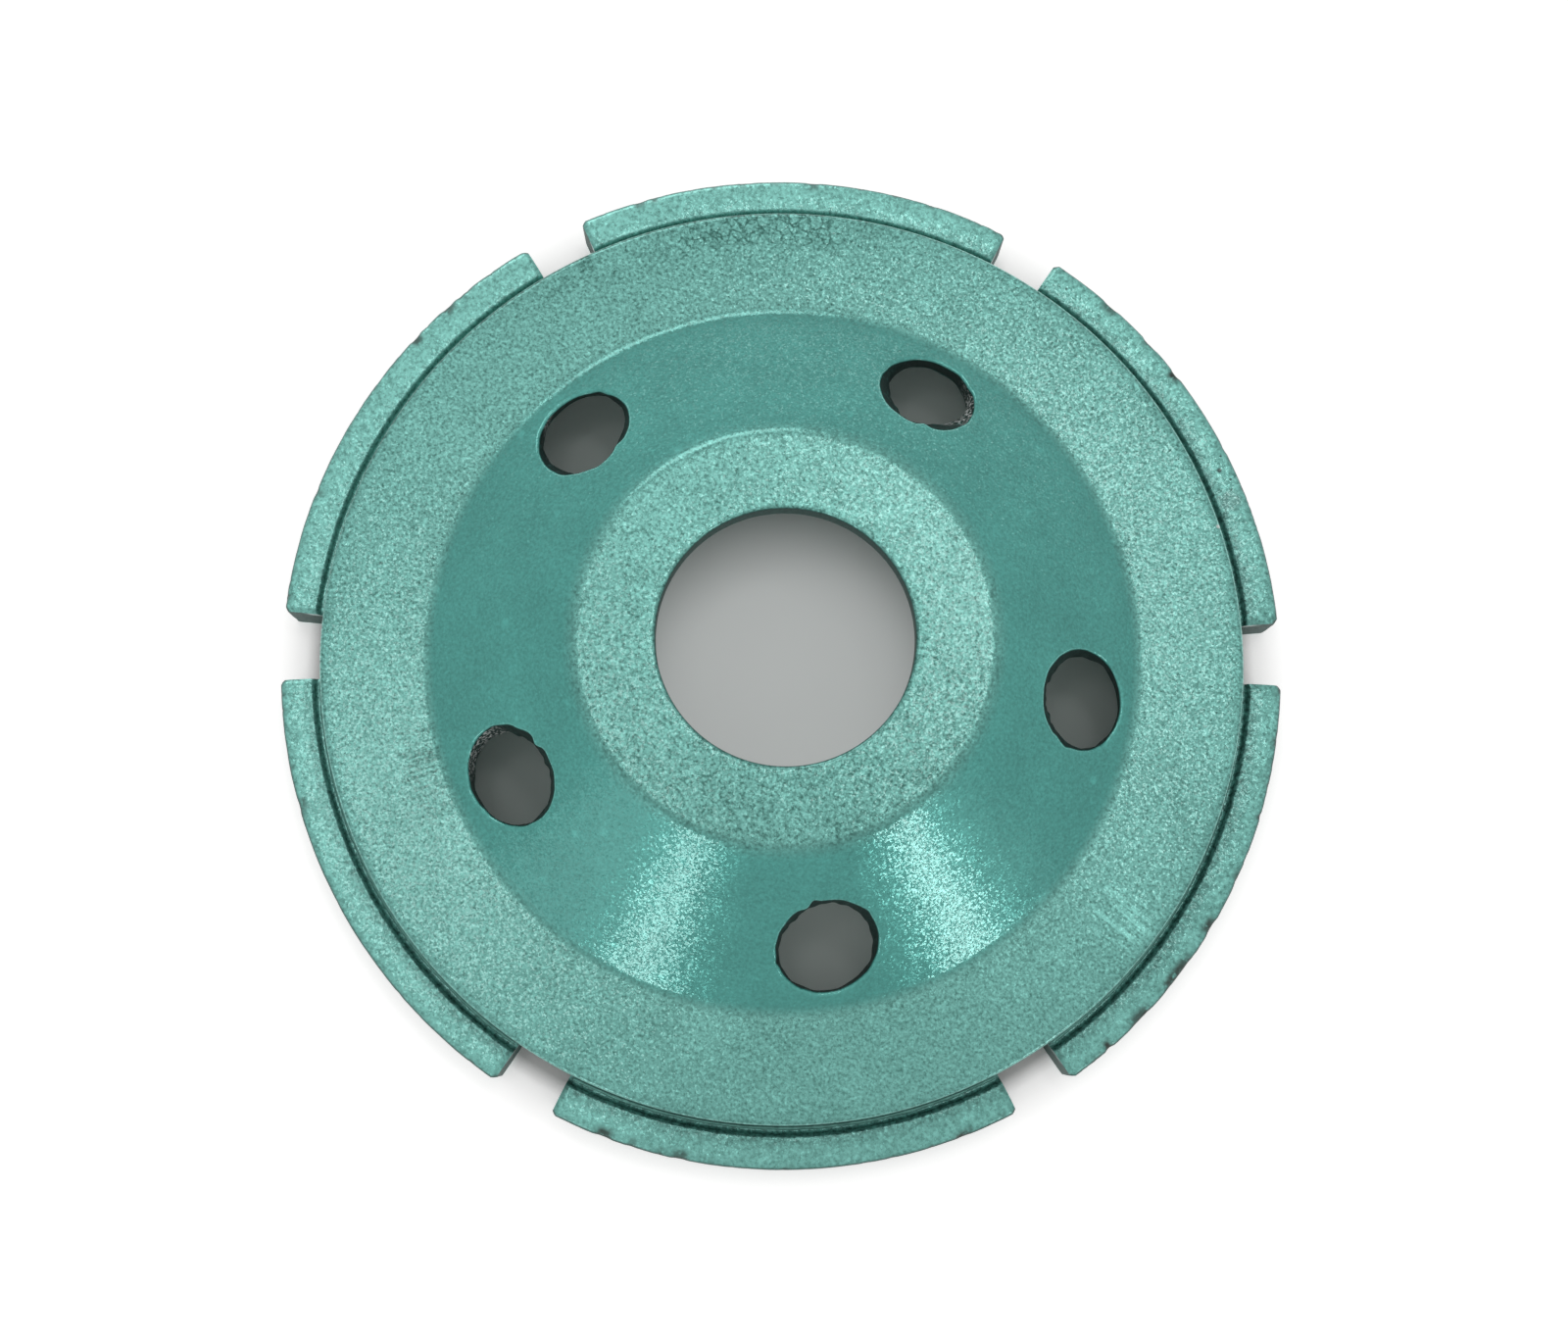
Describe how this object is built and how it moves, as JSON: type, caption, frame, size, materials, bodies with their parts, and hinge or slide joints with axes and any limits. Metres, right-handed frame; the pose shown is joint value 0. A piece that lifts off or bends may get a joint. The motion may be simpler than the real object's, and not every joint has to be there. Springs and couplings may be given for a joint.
{
  "type": "diamond cup wheel",
  "caption": "Pressed steel cup wheel with a plain bore, vents in its cone and brazed diamond segments round its rim.",
  "frame": {"origin": "on the wheel's axis, in the plane of the segments' grinding face", "axes": "+Z along the axis, from the grinding face to the grinder; +X through the middle of the first vent"},
  "size_m": [0.09, 0.09, 0.0166],
  "materials": {
    "painted_steel": "metallic green paint with a fine hammered grain",
    "painted_segment": "the same metallic green paint over sintered diamond segment"
  },
  "bodies": {
    "root": {"cup_body": "painted_steel", "segment_1": "painted_segment", "segment_2": "painted_segment", "segment_3": "painted_segment", "segment_4": "painted_segment", "segment_5": "painted_segment", "segment_6": "painted_segment"}
  },
  "joints": []
}
